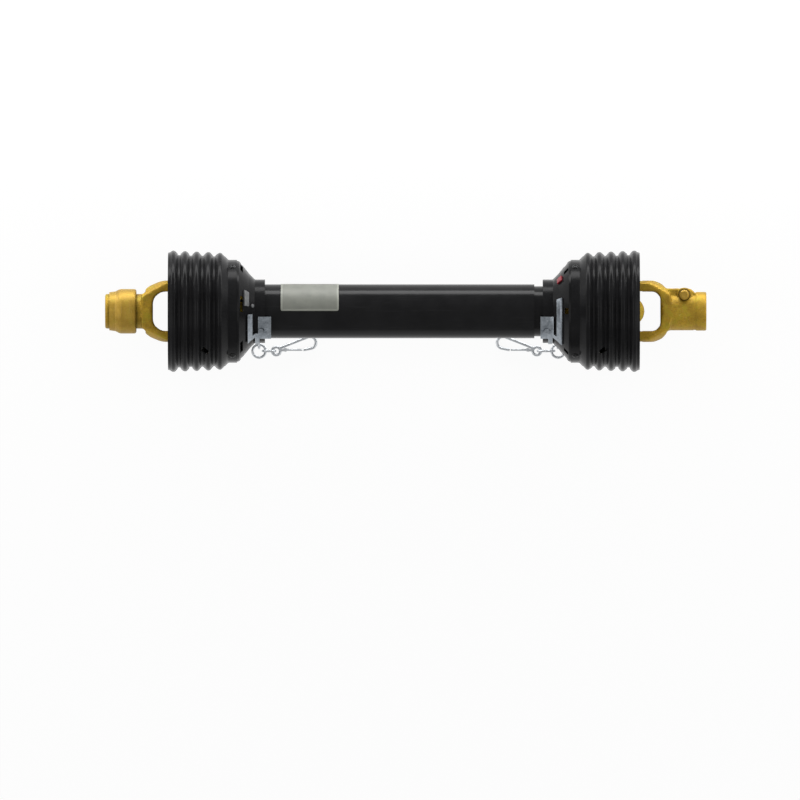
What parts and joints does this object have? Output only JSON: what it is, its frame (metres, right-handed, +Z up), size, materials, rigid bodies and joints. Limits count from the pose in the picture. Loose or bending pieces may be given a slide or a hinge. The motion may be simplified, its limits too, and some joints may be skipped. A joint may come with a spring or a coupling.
{
  "type": "universal joint shaft",
  "caption": "Telescoping power take-off shaft with a Cardan joint at each end, splined yokes, a ball-lock collar, a push pin, a ribbed plastic guard and safety chains.",
  "frame": {"origin": "floor under the middle of the whole closed shaft, which lies on the first ribs of its guard cones", "axes": "+X along the shaft from the tractor end to the implement end, +Z up; the chains lie on the -Y side"},
  "size_m": [0.8264, 0.166, 0.1661],
  "materials": {
    "yellow_zinc": "yellow zinc plating over forged steel",
    "bright_steel": "bright zinc plating",
    "dark_steel": "bare greased steel",
    "guard_plastic": "moulded black polyethylene, satin",
    "nylon": "natural nylon",
    "seal_rubber": "moulded rubber",
    "red_plastic": "moulded red plastic"
  },
  "bodies": {
    "outer_guard": {"outer_guard_tube": "guard_plastic", "tractor_base_cone": "guard_plastic", "tractor_ribbed_cone": "guard_plastic", "tractor_cone_screws": "dark_steel", "tractor_bearing_ring": "nylon", "tractor_chain_bracket": "bright_steel", "tractor_bracket_rivet": "bright_steel", "tractor_release_tab": "nylon"},
    "inner_guard": {"inner_guard_tube": "guard_plastic", "implement_base_cone": "guard_plastic", "implement_ribbed_cone": "guard_plastic", "implement_cone_screws": "dark_steel", "implement_bearing_ring": "nylon", "implement_chain_bracket": "bright_steel", "implement_bracket_rivet": "bright_steel", "implement_release_tab": "red_plastic"},
    "tractor_shaft": {"inner_drive_tube": "dark_steel", "tractor_inner_yoke": "yellow_zinc", "tractor_roll_pin": "bright_steel", "tractor_inner_bearings": "bright_steel", "tractor_inner_snap_rings": "bright_steel"},
    "implement_shaft": {"outer_drive_tube": "dark_steel", "implement_inner_yoke": "yellow_zinc", "implement_roll_pin": "bright_steel", "implement_inner_bearings": "bright_steel", "implement_inner_snap_rings": "bright_steel"},
    "tractor_cross": {"tractor_cross": "dark_steel", "tractor_grease_nipple": "bright_steel", "tractor_cross_seals": "seal_rubber"},
    "tractor_fork": {"tractor_yoke": "yellow_zinc", "tractor_outer_bearings": "bright_steel", "tractor_outer_snap_rings": "bright_steel", "collar_spring": "bright_steel", "collar_retaining_ring": "bright_steel", "collar_back_washer": "bright_steel"},
    "tractor_chain_link_1": {"tractor_chain_link_1": "bright_steel"},
    "tractor_chain_link_2": {"tractor_chain_link_2": "bright_steel"},
    "tractor_chain_ring": {"tractor_chain_ring": "bright_steel"},
    "tractor_short_link": {"tractor_short_link": "bright_steel"},
    "tractor_snap_hook": {"tractor_snap_hook": "bright_steel"},
    "tractor_hook_gate": {"tractor_hook_gate": "bright_steel"},
    "implement_cross": {"implement_cross": "dark_steel", "implement_grease_nipple": "bright_steel", "implement_cross_seals": "seal_rubber"},
    "implement_fork": {"implement_yoke": "yellow_zinc", "implement_outer_bearings": "bright_steel", "implement_outer_snap_rings": "bright_steel", "push_pin_cap": "bright_steel", "push_pin_spring": "bright_steel"},
    "implement_chain_link_1": {"implement_chain_link_1": "bright_steel"},
    "implement_chain_link_2": {"implement_chain_link_2": "bright_steel"},
    "implement_chain_ring": {"implement_chain_ring": "bright_steel"},
    "implement_short_link": {"implement_short_link": "bright_steel"},
    "implement_snap_hook": {"implement_snap_hook": "bright_steel"},
    "implement_hook_gate": {"implement_hook_gate": "bright_steel"},
    "lock_collar": {"lock_collar": "yellow_zinc"},
    "push_pin": {"push_pin": "yellow_zinc"},
    "lock_ball_1": {"lock_ball_1": "bright_steel"},
    "lock_ball_2": {"lock_ball_2": "bright_steel"},
    "lock_ball_3": {"lock_ball_3": "bright_steel"}
  },
  "joints": [
    {"name": "tractor_shaft_spin", "type": "hinge", "parent": "outer_guard", "child": "tractor_shaft", "pos_m": [0, 0, 0.083], "axis": [1, 0, 0], "continuous": true},
    {"name": "shaft_telescope", "type": "slide", "parent": "tractor_shaft", "child": "implement_shaft", "axis": [1, 0, 0], "range_m": [-0.01, 0.22]},
    {"name": "inner_guard_spin", "type": "hinge", "parent": "implement_shaft", "child": "inner_guard", "pos_m": [0, 0, 0.083], "axis": [1, 0, 0], "continuous": true},
    {"name": "tractor_cross_swing", "type": "hinge", "parent": "tractor_shaft", "child": "tractor_cross", "pos_m": [-0.30275, 0, 0.083], "axis": [0, 0, 1], "range_deg": [-35, 35]},
    {"name": "tractor_fork_swing", "type": "hinge", "parent": "tractor_cross", "child": "tractor_fork", "pos_m": [-0.30275, 0, 0.083], "axis": [0, 1, 0], "range_deg": [-35, 35]},
    {"name": "implement_cross_swing", "type": "hinge", "parent": "implement_shaft", "child": "implement_cross", "pos_m": [0.30725, 0, 0.083], "axis": [0, 0, 1], "range_deg": [-35, 35]},
    {"name": "implement_fork_swing", "type": "hinge", "parent": "implement_cross", "child": "implement_fork", "pos_m": [0.30725, 0, 0.083], "axis": [0, 1, 0], "range_deg": [-35, 35]},
    {"name": "lock_collar_slide", "type": "slide", "parent": "tractor_fork", "child": "lock_collar", "axis": [1, 0, 0], "range_m": [0, 0.007], "stiffness_N_per_m": 1500, "springref_m": -0.004, "deforming": ["collar_spring"]},
    {"name": "lock_ball_1_lift", "type": "slide", "parent": "tractor_fork", "child": "lock_ball_1", "axis": [0, -1, 0], "range_m": [0, 0.0027]},
    {"name": "lock_ball_2_lift", "type": "slide", "parent": "tractor_fork", "child": "lock_ball_2", "axis": [0, 0.5, -0.866], "range_m": [0, 0.0027]},
    {"name": "lock_ball_3_lift", "type": "slide", "parent": "tractor_fork", "child": "lock_ball_3", "axis": [0, 0.5, 0.866], "range_m": [0, 0.0027]},
    {"name": "push_pin_press", "type": "slide", "parent": "implement_fork", "child": "push_pin", "axis": [0, 0, 1], "range_m": [-0.009, 0], "stiffness_N_per_m": 800, "springref_m": 0.005, "deforming": ["push_pin_spring"]},
    {"name": "tractor_link_1_swing", "type": "hinge", "parent": "outer_guard", "child": "tractor_chain_link_1", "pos_m": [-0.20205, -0.03334, 0.04326], "axis": [1, 0, 0], "range_deg": [-12, 12]},
    {"name": "tractor_link_2_swing", "type": "hinge", "parent": "tractor_chain_link_1", "child": "tractor_chain_link_2", "pos_m": [-0.20205, -0.04063, 0.02153], "axis": [1, 0, 0], "range_deg": [-12, 12]},
    {"name": "tractor_ring_swing", "type": "hinge", "parent": "tractor_chain_link_2", "child": "tractor_chain_ring", "pos_m": [-0.20205, -0.0455, 0.007], "axis": [1, 0, 0], "range_deg": [-12, 12]},
    {"name": "tractor_short_link_swing", "type": "hinge", "parent": "tractor_chain_ring", "child": "tractor_short_link", "pos_m": [-0.19685, -0.0545, 0.007], "axis": [0, 0, -1], "range_deg": [-15, 15]},
    {"name": "tractor_hook_swing", "type": "hinge", "parent": "tractor_short_link", "child": "tractor_snap_hook", "pos_m": [-0.17985, -0.0545, 0.007], "axis": [0, 0, -1], "range_deg": [-15, 15]},
    {"name": "tractor_gate_press", "type": "hinge", "parent": "tractor_snap_hook", "child": "tractor_hook_gate", "pos_m": [-0.16605, -0.0529, 0.00586], "axis": [0.0926, 0, 0.9957], "range_deg": [0, 18], "stiffness_Nm_per_rad": 0.03, "springref_deg": -14.32},
    {"name": "implement_link_1_swing", "type": "hinge", "parent": "inner_guard", "child": "implement_chain_link_1", "pos_m": [0.20985, -0.0388, 0.03675], "axis": [1, 0, 0], "range_deg": [-12, 12]},
    {"name": "implement_link_2_swing", "type": "hinge", "parent": "implement_chain_link_1", "child": "implement_chain_link_2", "pos_m": [0.20985, -0.04299, 0.01817], "axis": [1, 0, 0], "range_deg": [-12, 12]},
    {"name": "implement_ring_swing", "type": "hinge", "parent": "implement_chain_link_2", "child": "implement_chain_ring", "pos_m": [0.20985, -0.0455, 0.007], "axis": [1, 0, 0], "range_deg": [-12, 12]},
    {"name": "implement_short_link_swing", "type": "hinge", "parent": "implement_chain_ring", "child": "implement_short_link", "pos_m": [0.20465, -0.0545, 0.007], "axis": [0, 0, 1], "range_deg": [-15, 15]},
    {"name": "implement_hook_swing", "type": "hinge", "parent": "implement_short_link", "child": "implement_snap_hook", "pos_m": [0.18215, -0.0545, 0.007], "axis": [0, 0, 1], "range_deg": [-15, 15]},
    {"name": "implement_gate_press", "type": "hinge", "parent": "implement_snap_hook", "child": "implement_hook_gate", "pos_m": [0.16835, -0.0529, 0.00586], "axis": [0.0926, 0, -0.9957], "range_deg": [0, 18], "stiffness_Nm_per_rad": 0.03, "springref_deg": -14.32}
  ],
  "couplings": [
    {"joint": "lock_ball_1_lift", "follows": "lock_collar_slide", "ratio": 0.38571},
    {"joint": "lock_ball_2_lift", "follows": "lock_collar_slide", "ratio": 0.38571},
    {"joint": "lock_ball_3_lift", "follows": "lock_collar_slide", "ratio": 0.38571}
  ]
}
